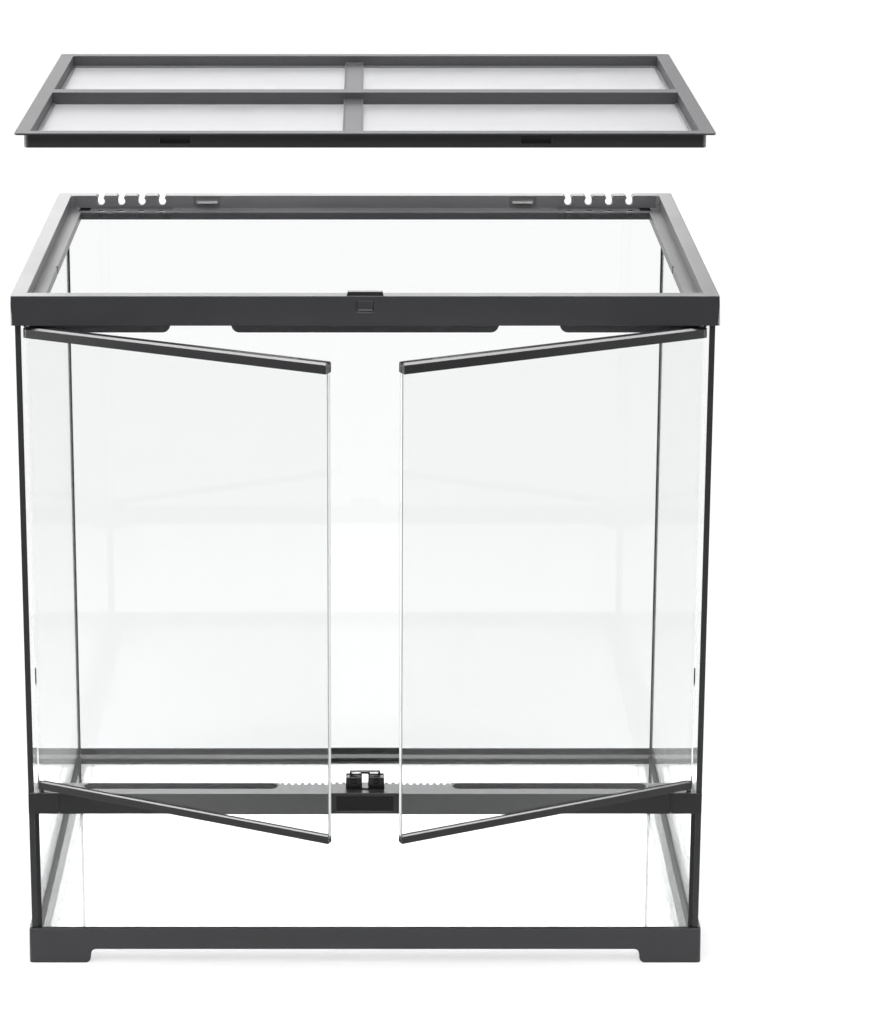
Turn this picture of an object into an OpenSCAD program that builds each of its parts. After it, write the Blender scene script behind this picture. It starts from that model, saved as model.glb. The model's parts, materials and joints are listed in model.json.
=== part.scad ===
// Front-opening glass terrarium with a lift-off screen lid.
// Millimetres, +Z up, the front faces -Y and the origin is on the floor, under the middle of
// the base. The doors stand part open and the lid hangs above the rim, as for cleaning.

/* [Overall size] */
// Width of the top frame
frame_w = 604; // [440:1:900]
// Depth of the top frame
frame_d = 454; // [300:1:600]
// Height of the top frame's rim over the floor
frame_top = 613; // [450:1:900]

/* [Glass] */
// Thickness of the fixed panes
pane_t = 5; // [4:0.5:6]
// Thickness of the doors' glass
door_glass_t = 4; // [3:0.5:5]
// Depth of the panes' outer faces behind the top frame's sides
pane_inset = 4; // [4:0.5:6]
// Width of the silicone joint beside the lower front pane
front_seam_w = 3.6; // [1:0.2:6]
// Width of the silicone joints beside the rear pane
rear_seam_w = 1.4; // [1:0.2:4]
// Leg of the silicone bead around the floor pane
floor_bead = 3; // [2:0.5:5]

/* [Base] */
// Height of the feet under the base rail
foot_h = 13; // [8:1:25]
// Height of the base's top edge over the floor
base_top = 32.5; // [30:0.5:45]
// Length of each foot along the base's sides
foot_len = 56; // [40:1:90]
// Radius of the curves where a foot meets the rail
foot_curve = 5; // [3:0.5:6]
// Width of the shelf that carries the floor pane
shelf_w = 14; // [10:1:20]
// Spacing of the steps along the shelf's inner edge
shelf_step_pitch = 42; // [30:1:80]

/* [Middle rail] */
// Height of the middle rail's underside over the floor
rail_bottom = 142.5; // [100:0.5:180]
// Height of the middle rail
rail_h = 19.5; // [18:0.5:26]
// Depth of the middle rail from front to back
rail_d = 26.5; // [24:0.5:40]
// Width of the hinge block at each end of the rail
hinge_block_w = 27; // [24:1:40]
// Length of each vent slot in the rail
vent_len = 172; // [80:1:176]
// Width of each vent slot
vent_w = 13.5; // [8:0.5:13.5]
// Spacing of the teeth on the rail's rear edge
tooth_pitch = 6; // [5:0.5:10]

/* [Top frame] */
// Height of the top frame's front face
top_h = 25.5; // [24:0.5:40]
// Width of the rim around the lid
rim_w = 14; // [13:0.5:20]
// Depth of the lid's recess below the rim
rim_depth = 12.4; // [12:0.2:14]
// Width of the ledge inside the rim at the front and the sides
ledge_w = 11; // [8:1:16]
// Width of the ledge inside the rim at the rear
rear_ledge_w = 19; // [15:1:24]
// Wall thickness of the frame mouldings
wall = 2.4; // [1.6:0.1:2.6]
// How much the top frame's sides lean in over their height
draft = 1.3; // [0:0.1:1.5]
// Radius of the frame's upright outer corners
corner_r = 3.5; // [1:0.5:5]
// Drop of the door stops below the ledge at the front
stop_drop = 20; // [14:1:24]

/* [Cable inlets] */
// Diameter of each cable inlet
inlet_d = 7.7; // [6:0.1:8]
// Width of the neck above each inlet
neck_w = 5.4; // [4:0.1:6]
// Spacing of the inlets
inlet_pitch = 20; // [18:0.5:22]
// Distance of the outermost inlet from the frame's side
inlet_from_side = 43; // [38:1:100]

/* [Doors] */
// Angle at which the doors stand open
door_open = 26; // [0:1:90]
// Gap between the two closed doors
door_gap = 2; // [1:0.5:4]
// Gap under and over a door
door_clear = 2.4; // [1:0.1:4]
// Thickness of a door's top profile
top_profile_t = 10; // [8:0.5:10]
// Height of a door's top profile
top_profile_h = 9.3; // [8:0.1:14]
// Thickness of a door's bottom channel
channel_t = 6.4; // [6:0.1:9]
// Height of a door's bottom channel
channel_h = 6.6; // [6:0.1:10]
// Radius of the hinge pins
pin_r = 2; // [1.5:0.1:2.5]
// Radial clearance of a pin in its bearing
pin_fit = 0.06; // [0.02:0.01:0.1]

/* [Lid] */
// Height at which the lid hangs over its seat
lid_lift = 137; // [0:1:300]
// Gap between the edge of the lid's flange and the frame's outer edge
lid_inset = 7.5; // [7.5:0.5:9]
// Width of the lid's flange
flange_w = 12.5; // [11:0.5:18]
// Thickness of the lid's flange
flange_t = 1.6; // [1.2:0.1:2.5]
// Thickness of the lid's skirt and inner wall
lid_wall = 1.6; // [1.2:0.1:2]
// Gap between the lid's skirt and the rim
lid_fit = 0.6; // [0.4:0.1:1]
// Width of the lid's two cross bars
bar_w = 17.5; // [12:0.5:30]
// Distance of the front-to-back bar left of the middle
bar_offset = 10.5; // [0:0.5:40]
// Depth of the front-to-back bar's top below the flange
bar_drop = 6.8; // [0:0.2:8]
// Radius of the skirt's upright corners
skirt_corner = 4.5; // [2:0.5:5]
// Thickness of the woven screen
screen_t = 0.8; // [0.6:0.1:1.2]
// Width of the strands between the screen's openings
strand_w = 3; // [1.5:0.5:6]

/* [Hidden] */
$fn = 48;

LEFT = -1;
RIGHT = 1;
over = 1;                    // how far a cut runs past the face it opens
seat_gap = 0.3;              // between a pane and the moulding around it

half_w = frame_w / 2;
half_d = frame_d / 2;

// Base, measured in from the top frame's outer faces
base_inset = 1;
base_wall = pane_inset - base_inset - seat_gap;
shelf_top = base_top - 12.5;
shelf_t = 3;
shelf_edge = pane_inset + shelf_w;
shelf_step_w = 5;
edge_step = 1.2;
seal_h = 1.1;

// Fixed panes
pane_top = frame_top - 7;
rear_pane_top = frame_top - rim_depth - wall - 1.2;
front_pane_in = pane_inset + 0.4;       // its outer face, in from the frame's front
front_pane_back = front_pane_in + pane_t;
side_pane_in = half_w - pane_inset - pane_t;
front_pane_top = rail_bottom + 7.5;

// Middle rail
rail_front = 2;                          // in from the frame's front
rail_top = rail_bottom + rail_h;
rail_back = rail_front + rail_d;
rail_wall = front_pane_in - rail_front - 0.1;
rail_plate_t = 2.5;
rear_lip_t = 1.2;
block_in = half_w - pane_inset - hinge_block_w;
block_seam = 0.5;
vent_from_block = 22;
vent_from = block_in - vent_from_block - vent_len;
vent_y = rail_back - rear_lip_t + 0.2 - vent_w / 2;
tooth_r = 1.7;
tooth_len = 4.2;
teeth_edge = 4;                          // from the vent slot's end to the first tooth
teeth_end = 19;
panel_w = 51;
panel_margin = 2.4;

// Top frame
frame_bottom = frame_top - top_h;
ledge_top = frame_top - rim_depth;
ledge_t = wall;
pane_slot_out = pane_inset - 0.8;
pane_slot_in = pane_inset + pane_t + seat_gap;
ledge_edge = rim_w + ledge_w;
rear_ledge_edge = rim_w + rear_ledge_w;
lip_h = 7.5;
stop_in = rim_w;
stop_bottom = ledge_top - ledge_t - stop_drop;
stop_round = 7;
stops = [                                // spans of the door stops, out from the middle
    [0, half_w - 187.7],
    [half_w - 135.6, half_w - 10]
];
hook_x = half_w - 147.5;
hook_w = 20;
hook_h = 2.2;
hook_out = 2.4;
hook_drop = 5.4;
pocket_w = 26;
pocket_depth = 1;
corner_web = 3.2;
lip_gap = 6;
lip_gap_y = 173;                          // in from the frame's front

// Cable inlets and their sliders
inlets = 4;
inlet_r = inlet_d / 2;
inlet_z = frame_top - 5.4;
inlet_start = half_w - inlet_from_side - inlet_pitch * (inlets - 1);
inlet_mid = inlet_start + inlet_pitch * (inlets - 1) / 2;
inlet_travel = inlet_pitch / 2;
strip_len = inlet_pitch * (inlets - 1) + 2 * (inlet_r + 6);
cavity_len = strip_len + inlet_travel + 1;
cavity_mid = inlet_mid + inlet_travel / 2;
strip_in = pane_inset + 1;
strip_t = 2;
slider_t = 1.2;
slider_gap = 0.15;
slider_edge = rim_w + 15;
finger_hole_d = 7;

// Doors, drawn closed with the hinge axis on the origin and the door running along +X
hinge_x = half_w - pane_inset - pane_t - 6.4;
hinge_y = 8;                              // in from the frame's front
door_len = hinge_x - door_gap / 2;
door_bottom = rail_top + door_clear;
door_top = frame_bottom - door_clear;
profile_bottom = door_top - top_profile_h;
profile_bevel = 1.8;
glass_top = profile_bottom + 4.5;
glass_bottom = door_bottom + 3.4;
channel_floor = 1.4;
glass_fit = 0.1;
pin_in_frame = 6;
pin_in_block = 7;
groove_len = 28;

// Lid latch
latch_w = 29.5;
latch_travel = 2;
latch_hook_t = 2;
button_w = 13.6;
button_h = 9;
button_z = frame_top - 13.2;
button_border = 1.2;

// Door lock
lock_w = 34;
lock_gap = 5.4;
lock_front = 11.8;
lock_back = 22.5;
catch_travel = 2;
catch_h = 7.8;
lock_base_h = 3.2;

// Lid, drawn seated
flange_top = frame_top + flange_t;
skirt_in = rim_w + lid_fit;
skirt_bottom = ledge_top + 0.5;
flange_edge = lid_inset + flange_w;
lid_shelf_w = 2.6;
lid_shelf_t = 1.7;
screen_z = skirt_bottom + lid_shelf_t;
bars_z = screen_z + screen_t + 0.1;
flange_corner = 3;
retainer_t = 1.4;
screen_cells = [12, 9];                  // openings across, and from front to back
layer_gap = 0.02;
slot_border = 1;
skirt_slots = [142 - half_w, half_w - 158];   // middles of the slots in the front skirt
skirt_slot_w = 25.5;
skirt_slot_h = 4.4;
skirt_slot_drop = 9.8;

// ---- shared shapes ----

// Block inset from the frame's outer faces at the sides, the front and the rear
module inset_box(side, front, rear, z0, z1) {
    translate([side - half_w, front - half_d, z0])
        cube([frame_w - 2 * side, frame_d - front - rear, z1 - z0]);
}

// Rectangular ring between two insets
module inset_ring(outer, inner, z0, z1) {
    difference() {
        inset_box(outer, outer, outer, z0, z1);
        inset_box(inner, inner, inner, z0 - over, z1 + over);
    }
}

// Block inset from the frame's outer faces, with round upright corners
module rounded_box(inset, r, z0, z1) {
    x = half_w - inset - r;
    y = half_d - inset - r;
    translate([0, 0, z0])
        linear_extrude(z1 - z0) {
            square([2 * x, 2 * (y + r)], center = true);
            square([2 * (x + r), 2 * y], center = true);
            for (side = [-1, 1])
                for (end = [-1, 1])
                    translate([side * x, end * y]) circle(r);
        }
}

// What the mouldings' upright outer corners are rounded to, a hair outside their flat sides
module corner_round(inset, z0, z1) {
    rounded_box(inset - 0.02, corner_r, z0 - over, z1 + over);
}

module rounded_ring(outer, inner, r, z0, z1) {
    difference() {
        rounded_box(outer, r, z0, z1);
        rounded_box(inner, max(r - inner + outer, 1), z0 - over, z1 + over);
    }
}

// Slab between two heights whose four sides lean in by lean
module leaning_block(inset, lean, z0, z1) {
    intersection() {
        translate([0, half_d - inset, 0])
            rotate([90, 0, 0])
                linear_extrude(frame_d - 2 * inset)
                    leaning_side(half_w - inset, lean, z0, z1);
        translate([inset - half_w, 0, 0])
            rotate([90, 0, 90])
                linear_extrude(frame_w - 2 * inset)
                    leaning_side(half_d - inset, lean, z0, z1);
    }
}

module leaning_side(half, lean, z0, z1) {
    polygon([[-half, z0], [half, z0], [half - lean, z1], [lean - half, z1]]);
}

// Copy to one side of the middle plane: LEFT leaves a shape drawn at -X, RIGHT mirrors it
module on_side(side) {
    mirror([side == RIGHT ? 1 : 0, 0, 0]) children();
}

module both_sides() {
    on_side(LEFT) children();
    on_side(RIGHT) children();
}

// Block given by its spans along X, from the frame's front inwards, and along Z
module front_block(x, y, z) {
    translate([x[0], y[0] - half_d, z[0]])
        cube([x[1] - x[0], y[1] - y[0], z[1] - z[0]]);
}

// The same, from the frame's rear inwards
module rear_block(x, y, z) {
    translate([x[0], half_d - y[1], z[0]])
        cube([x[1] - x[0], y[1] - y[0], z[1] - z[0]]);
}

// Slot with round ends, flat, centred
module round_slot(len, w) {
    square([len - w, w], center = true);
    for (x = [-1, 1] * (len - w) / 2)
        translate([x, 0]) circle(d = w);
}

// ---- base ----

// Gap under the rail between two feet, as seen from one side: round corners at its top, and
// round shoulders where the feet's ends meet the floor
module foot_gap(len) {
    half = len / 2;
    translate([-half, -over]) square([len, foot_h + over - foot_curve]);
    translate([foot_curve - half, 0]) square([len - 2 * foot_curve, foot_h]);
    for (x = [-1, 1] * (half - foot_curve))
        translate([x, foot_h - foot_curve]) circle(foot_curve);
    for (side = [-1, 1])
        translate([side * half, 0])
            difference() {
                translate([side > 0 ? -over : -foot_curve, -over])
                    square([foot_curve + over, foot_curve + over]);
                translate([side * foot_curve, foot_curve]) circle(foot_curve);
            }
}

module base_frame() {
    color("#3d3d40")
    difference() {
        union() {
            difference() {
                intersection() {
                    leaning_block(base_inset, 0.6, 0, base_top);
                    corner_round(base_inset, 0, base_top);
                }
                // open above the shelf, and below it
                inset_box(base_inset + base_wall, base_inset + base_wall, base_inset + base_wall,
                    shelf_top, base_top + over);
                inset_box(base_inset + base_wall, base_inset + base_wall, base_inset + base_wall,
                    -over, shelf_top - shelf_t);
                inset_box(shelf_edge, shelf_edge, shelf_edge, 0, base_top);
            }
            // the shelf's lower inner step
            inset_ring(shelf_edge - over, shelf_edge + shelf_step_w, shelf_top - shelf_t,
                shelf_top - 1);
            shelf_edge_steps();
            foot_soles();
        }
        rotate([90, 0, 0])
            linear_extrude(frame_d + 2 * over, center = true)
                foot_gap(frame_w - 2 * foot_len);
        rotate([90, 0, 90])
            linear_extrude(frame_w + 2 * over, center = true)
                foot_gap(frame_d - 2 * foot_len);
    }
}

// Shallow steps along the inner edge of the shelf's two side arms
module shelf_edge_steps() {
    reach = half_d - shelf_edge - 30;
    count = floor(reach / shelf_step_pitch);
    both_sides()
        for (i = [-count : count])
            translate([shelf_edge + shelf_step_w - over - half_w,
                (i - 0.25) * shelf_step_pitch, shelf_top - shelf_t])
                cube([edge_step + over, shelf_step_pitch / 2, shelf_t - 1]);
}

// The soles of the four hollow corner feet
module foot_soles() {
    sole_t = 2.5;
    sole_w = 20;
    difference() {
        intersection() {
            inset_ring(base_inset + 0.5, base_inset + sole_w, 0, sole_t);
            corner_round(base_inset + 0.5, 0, sole_t);
        }
        cube([frame_w - 2 * foot_len, frame_d * 2, 50], center = true);
        cube([frame_w * 2, frame_d - 2 * foot_len, 50], center = true);
    }
    // the feet's inner walls
    difference() {
        inset_ring(base_inset + sole_w - wall, base_inset + sole_w, 0, shelf_top - shelf_t);
        cube([frame_w - 2 * foot_len, frame_d * 2, 50], center = true);
        cube([frame_w * 2, frame_d - 2 * foot_len, 50], center = true);
    }
}

// Black sealant between the panes and the base's wall, with a bead along the top edge
module base_seal() {
    color("#1c1c1e") {
        inset_ring(pane_inset - seat_gap, pane_inset, shelf_top + 6, base_top);
        inset_ring(base_inset + 1.6, pane_inset, base_top, base_top + seal_h);
    }
}

module floor_pane() {
    color("#cfe3dc", 0.4)
    translate([0.4 - side_pane_in, front_pane_back + 0.4 - half_d, shelf_top])
        cube([2 * side_pane_in - 0.8, frame_d - front_pane_back - pane_inset - pane_t - 0.8,
            pane_t]);
}

// Bead that seals the floor pane to the four walls
module floor_seal() {
    z = shelf_top + pane_t;
    x = side_pane_in;
    front = front_pane_back - half_d;
    rear = half_d - pane_inset - pane_t;
    color("#1c1c1e")
    difference() {
        translate([-x, front, z]) cube([2 * x, rear - front, floor_bead]);
        // the bead's sloping face
        intersection() {
            translate([0, rear + over, 0])
                rotate([90, 0, 0])
                    linear_extrude(rear - front + 2 * over)
                        bead_hollow(-x, x, z);
            translate([-x - over, 0, 0])
                rotate([90, 0, 90])
                    linear_extrude(2 * x + 2 * over)
                        bead_hollow(front, rear, z);
        }
    }
}

module bead_hollow(from, to, z) {
    polygon([[from + floor_bead, z - 0.01], [to - floor_bead, z - 0.01],
        [to, z + floor_bead + 0.01], [from, z + floor_bead + 0.01]]);
}

// ---- fixed glass ----

module rear_pane() {
    color("#cfe3dc", 0.4)
    rear_block([rear_seam_w - side_pane_in, side_pane_in - rear_seam_w],
        [pane_inset, pane_inset + pane_t], [shelf_top, rear_pane_top]);
}

module side_pane() {
    color("#cfe3dc", 0.4)
    translate([pane_inset - half_w, pane_inset - half_d, shelf_top])
        cube([pane_t, frame_d - 2 * pane_inset, pane_top - shelf_top]);
}

module left_pane() { on_side(LEFT) side_pane(); }
module right_pane() { on_side(RIGHT) side_pane(); }

module front_pane() {
    half = side_pane_in - front_seam_w;
    color("#cfe3dc", 0.4)
    front_block([-half, half], [front_pane_in, front_pane_back], [shelf_top, front_pane_top]);
}

module rear_seals() {
    color("#1c1c1e")
    both_sides()
        rear_block([-side_pane_in, rear_seam_w - side_pane_in], [pane_inset, pane_inset + pane_t],
            [shelf_top, rear_pane_top]);
}

module front_seals() {
    color("#1c1c1e")
    both_sides()
        front_block([-side_pane_in, front_seam_w - side_pane_in],
            [front_pane_in, front_pane_back], [shelf_top, rail_bottom]);
}

// Black trim on the front edge of a side pane
module edge_strip() {
    strip_d = 0.8;
    color("#2a2a2c") {
        front_block([pane_inset - half_w, -side_pane_in], [pane_inset - strip_d, pane_inset],
            [base_top + seal_h, rail_bottom]);
        front_block([pane_inset - half_w, -side_pane_in], [pane_inset - strip_d, pane_inset],
            [rail_top, frame_bottom + 2]);
    }
}

module left_edge_strip() { on_side(LEFT) edge_strip(); }
module right_edge_strip() { on_side(RIGHT) edge_strip(); }

// ---- middle rail ----

module middle_rail() {
    half = block_in - block_seam;
    color("#3f3e43")
    difference() {
        union() {
            front_block([-half, half], [rail_front, rail_front + rail_wall],
                [rail_bottom, rail_top]);
            front_block([-half, half], [rail_front, rail_back],
                [rail_top - rail_plate_t, rail_top]);
            // rear wall of the groove that grips the front pane
            front_block([-half, half], [front_pane_back + 0.1, front_pane_back + 0.1 + wall],
                [rail_bottom, rail_top]);
            // ceiling of the groove
            front_block([-half, half], [rail_front, front_pane_back + wall],
                [front_pane_top + 0.2, front_pane_top + 0.2 + wall]);
            // thin lip behind the vent slots
            front_block([-half, half], [rail_back - rear_lip_t, rail_back],
                [rail_top - 8, rail_top]);
        }
        comb_recess();
        both_sides()
            translate([-vent_from - vent_len / 2, vent_y - half_d, rail_top - 6])
                linear_extrude(6 + over) round_slot(vent_len, vent_w);
        // plain sunk panel in the middle of the front
        front_block([-panel_w / 2, panel_w / 2], [rail_front - over, rail_front + 0.4],
            [rail_bottom + panel_margin, rail_top - panel_margin]);
    }
    comb_teeth();
}

// Flat round-ended teeth along the rail's rear edge, between the lock and the vent slots
module comb_teeth() {
    first = vent_from - teeth_edge;
    count = floor((first - teeth_end) / tooth_pitch) + 1;
    both_sides()
        for (i = [0 : count - 1])
            translate([i * tooth_pitch - first, rail_back - half_d, rail_top - rail_plate_t]) {
                translate([0, -tooth_r, 0]) cylinder(r = tooth_r, h = rail_plate_t);
                translate([-tooth_r, -tooth_len - over, 0])
                    cube([2 * tooth_r, tooth_len + over - tooth_r, rail_plate_t]);
            }
}

// What the rail's rear edge steps back by there
module comb_recess() {
    first = vent_from - teeth_edge;
    both_sides()
        front_block([-first - tooth_r - 0.6, tooth_r + 0.6 - teeth_end],
            [rail_back - tooth_len, rail_back + over], [rail_top - 8 - over, rail_top + over]);
}

// Block at the end of the rail that carries a door's lower pivot
module hinge_block() {
    outer = half_w - pane_inset;
    color("#3a393d")
    difference() {
        union() {
            front_block([-side_pane_in + seat_gap, -block_in], [rail_front, rail_back],
                [rail_bottom, rail_top]);
            // cap in front of the side pane's edge
            front_block([-outer, -block_in], [rail_front, pane_inset - 0.1],
                [rail_bottom, rail_top]);
        }
        // groove over the front pane
        front_block([-side_pane_in - over, -block_in + over],
            [rail_front + rail_wall, front_pane_back + 0.1],
            [rail_bottom - over, front_pane_top + 0.2]);
        translate([-hinge_x, hinge_y - half_d, rail_top - pin_in_block - 0.5])
            cylinder(r = pin_r + pin_fit, h = pin_in_block + 0.5 + over);
    }
}

module left_hinge_block() { on_side(LEFT) hinge_block(); }
module right_hinge_block() { on_side(RIGHT) hinge_block(); }

// Woven strip under a vent slot
module vent_mesh() {
    ends = 1.5;
    color("#202022")
    front_block([-vent_from - vent_len - ends, ends - vent_from],
        [front_pane_back + wall + 0.3, rail_back - rear_lip_t - 0.2],
        [rail_top - rail_plate_t - 0.6, rail_top - rail_plate_t]);
}

module left_vent_mesh() { on_side(LEFT) vent_mesh(); }
module right_vent_mesh() { on_side(RIGHT) vent_mesh(); }

// ---- door lock ----

// Base and rear wall of the touch catch in the middle of the rail. A yoke on three legs joins its
// halves over the gap between the catches, which is open to the rear.
module lock_housing() {
    top = rail_top + lock_base_h + catch_h;
    leg_h = 2;
    color("#1f1f21")
    difference() {
        union() {
            front_block([-lock_w / 2, lock_w / 2], [lock_front, lock_back],
                [rail_top, rail_top + lock_base_h]);
            front_block([-lock_w / 2, lock_w / 2], [lock_back - 2, lock_back], [rail_top, top]);
            both_sides()
                front_block([-13.7, -11.6], [lock_back - 2, lock_back], [top - over, top + leg_h]);
            front_block([-4.2, 4.2], [lock_back - 2, lock_back], [top - over, top + leg_h]);
            front_block([-13.7, 13.7], [lock_back - 3.8, lock_back], [top + leg_h, top + leg_h + 1]);
        }
        front_block([-lock_gap / 2, lock_gap / 2], [lock_front - over, lock_back + over],
            [rail_top + 1, top]);
    }
}

// One spring plunger of the touch catch, with a round pad for the door's strike
module catch() {
    z = rail_top + lock_base_h + slider_gap;
    top = rail_top + lock_base_h + catch_h - slider_gap;
    back = lock_back - 2 - catch_travel - 0.3;
    color("#19191b")
    difference() {
        front_block([-lock_w / 2, -lock_gap / 2], [lock_front - 0.3, back], [z, top]);
        // shallow dish in the top, and the pad's ring in front
        translate([-(lock_w + lock_gap) / 4, lock_front + 3.4 - half_d, top - 1])
            cylinder(r = 2.4, h = 1 + over);
        translate([-(lock_w + lock_gap) / 4, lock_front - half_d, z + catch_h / 2])
            rotate([90, 0, 0])
                difference() {
                    cylinder(r = 2.6, h = 4, center = true);
                    cylinder(r = 1.6, h = 5, center = true);
                }
    }
}

module left_catch() { on_side(LEFT) catch(); }
module right_catch() { on_side(RIGHT) catch(); }

// ---- top frame ----

module top_frame() {
    color("#3c3b40")
    difference() {
        union() {
            top_frame_shell();
            door_stops();
            hinge_bosses();
            lid_hooks();
            corner_webs();
        }
        both_sides() {
            // bearing of the door's upper pivot
            translate([-hinge_x, hinge_y - half_d, frame_bottom - over])
                cylinder(r = pin_r + pin_fit, h = pin_in_frame + 0.5 + over);
            // cable inlets through both walls, and the pocket that their slider runs in
            keyholes(-over, pane_slot_out + 1, 2);
            keyholes(pane_slot_out, rim_w + over, 0);
            rear_block([-cavity_mid - cavity_len / 2, cavity_len / 2 - cavity_mid],
                [strip_in - 0.4, slider_edge + 0.4],
                [ledge_top - slider_t - 2 * slider_gap, ledge_top + 0.2]);
        }
        latch_openings();
        hook_pockets();
        lip_gaps();
    }
}

// The ring itself: outer wall, rim, inner wall, ledge and the lip under its inner edge
module top_frame_shell() {
    difference() {
        intersection() {
            leaning_block(0, draft, frame_bottom, frame_top);
            corner_round(0, frame_bottom, frame_top);
        }
        // recess for the lid, and the opening below it
        inset_box(rim_w, rim_w, rim_w, ledge_top, frame_top + over);
        inset_box(ledge_edge, ledge_edge, rear_ledge_edge, frame_bottom - over, frame_top);
        // channel for the panes, inside the rim
        inset_ring(pane_slot_out, pane_slot_in, frame_bottom - over, frame_top - wall);
        inset_ring(pane_slot_in - 0.01, rim_w - wall, ledge_top, frame_top - wall);
        // hollow under the ledge, open at the bottom
        difference() {
            inset_box(pane_slot_in + wall, pane_slot_in + wall, pane_slot_in + wall,
                frame_bottom - over, ledge_top - ledge_t);
            inset_box(ledge_edge - wall, ledge_edge - wall, rear_ledge_edge - wall,
                ledge_top - lip_h, frame_top);
        }
        // the leg inside the panes stops short of the outer wall
        inset_box(pane_slot_in, pane_slot_in, pane_slot_in, frame_bottom - over,
            frame_bottom + 2);
    }
}

// Tongues under the front ledge that the closed doors rest against
module door_stops() {
    for (span = stops)
        both_sides()
            translate([0, stop_in + wall - half_d, 0])
                rotate([90, 0, 0])
                    linear_extrude(wall)
                        stop_outline(span[0], span[1], span[0] > 0);
    front_block([-stops[1][1], stops[1][1]], [pane_slot_in, stop_in + wall],
        [ledge_top - ledge_t - 1, ledge_top - 0.5]);
}

// Outline of one stop at -X, from the middle outwards, with its free lower corners rounded
module stop_outline(from, to, round_inner) {
    top = ledge_top - ledge_t;
    translate([-to, stop_bottom + stop_round]) square([to - from, top - stop_bottom - stop_round]);
    translate([stop_round - to, stop_bottom])
        square([to - from - stop_round * (round_inner ? 2 : 1), stop_round]);
    translate([stop_round - to, stop_bottom + stop_round]) circle(stop_round);
    if (round_inner)
        translate([-from - stop_round, stop_bottom + stop_round]) circle(stop_round);
}

// Solid corners of the front channel, for the doors' upper pivots
module hinge_bosses() {
    both_sides()
        front_block([-hinge_x - 5.8, 6 - hinge_x], [1.5, rim_w],
            [frame_bottom, ledge_top - 1]);
}

// Wedge-shaped lugs in shallow pockets of the rear wall, which the lid snaps over
module lid_hooks() {
    both_sides()
        translate([-hook_x - hook_w / 2, half_d - rim_w, frame_top - hook_drop])
            rotate([90, 0, 90])
                linear_extrude(hook_w)
                    polygon([[wall, 0], [-0.4, 0], [-hook_out, 0.4 - hook_h],
                        [-hook_out, -hook_h], [wall, -hook_h]]);
}

// Slanting webs in the rear corners of the recess, behind the lid's round corners
module corner_webs() {
    both_sides()
        translate([rim_w - half_w, half_d - rim_w, ledge_top - 1])
            linear_extrude(frame_top - 0.5 - ledge_top + 1)
                polygon([[-1, 1], [-1, -corner_web], [0, -corner_web], [corner_web, 0],
                    [corner_web, 1]]);
}

// Gap in the lip under each side ledge
module lip_gaps() {
    both_sides()
        front_block([ledge_edge - wall / 2 - half_w, ledge_edge + over - half_w],
            [lip_gap_y - lip_gap / 2, lip_gap_y + lip_gap / 2], [frame_bottom, ledge_top + over]);
}

// Slot in the rim for the latch's stem and window in the front for its button
module latch_openings() {
    front_block([-latch_w / 2 + 1.6, latch_w / 2 - 1.6], [pane_slot_out, pane_slot_out + 5],
        [frame_top - wall - over, frame_top + over]);
    front_block([-button_w / 2 - 0.5, button_w / 2 + 0.5], [-over, pane_slot_out + over],
        [button_z - 0.5, button_z + button_h + 0.5]);
}

// Shallow pockets around the lid's lugs
module hook_pockets() {
    both_sides()
        difference() {
            rear_block([-hook_x - pocket_w / 2, pocket_w / 2 - hook_x],
                [rim_w - pocket_depth, rim_w + over], [ledge_top, frame_top - 1.6]);
            rear_block([-hook_x - hook_w / 2, hook_w / 2 - hook_x],
                [rim_w - wall, rim_w + 5],
                [frame_top - hook_drop - hook_h, frame_top - hook_drop]);
        }
}

// ---- cable inlets ----

// Row of keyholes, cut along Y through whatever stands between two insets from the rear.
// low makes the round part reach further down.
module keyholes(from, to, low) {
    for (i = [0 : inlets - 1])
        translate([-inlet_start - i * inlet_pitch, half_d - from, 0])
            rotate([90, 0, 0])
                linear_extrude(to - from) {
                    translate([0, inlet_z]) circle(inlet_r);
                    if (low > 0) {
                        translate([0, inlet_z - low]) circle(inlet_r);
                        translate([-inlet_r, inlet_z - low]) square([inlet_d, low]);
                    }
                    translate([-neck_w / 2, inlet_z]) square([neck_w, 20]);
                    // the neck flares where it leaves the rim
                    polygon([[-neck_w / 2, frame_top - 2], [neck_w / 2, frame_top - 2],
                        [neck_w / 2 + 2.7, frame_top + over], [-neck_w / 2 - 2.7, frame_top + over]]);
                }
}

// Slider that closes the inlets: a notched strip inside the rim and a grip on the ledge
module inlet_slider() {
    z = ledge_top - slider_t - slider_gap;
    color("#2c2c2f")
    difference() {
        union() {
            rear_block([-inlet_mid - strip_len / 2, strip_len / 2 - inlet_mid],
                [strip_in, slider_edge], [z, z + slider_t]);
            rear_block([-inlet_mid - strip_len / 2, strip_len / 2 - inlet_mid],
                [strip_in, strip_in + strip_t], [z, frame_top - wall - 0.4]);
        }
        keyholes(strip_in - over, strip_in + strip_t + over, 1.4);
        for (i = [0 : inlets - 1])
            translate([-inlet_start - i * inlet_pitch, half_d - slider_edge + 1.5 + finger_hole_d / 2,
                z - over])
                cylinder(d = finger_hole_d, h = slider_t + 2 * over);
    }
}

module left_inlet_slider() { on_side(LEFT) inlet_slider(); }
module right_inlet_slider() { on_side(RIGHT) inlet_slider(); }

// ---- lid latch ----

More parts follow.
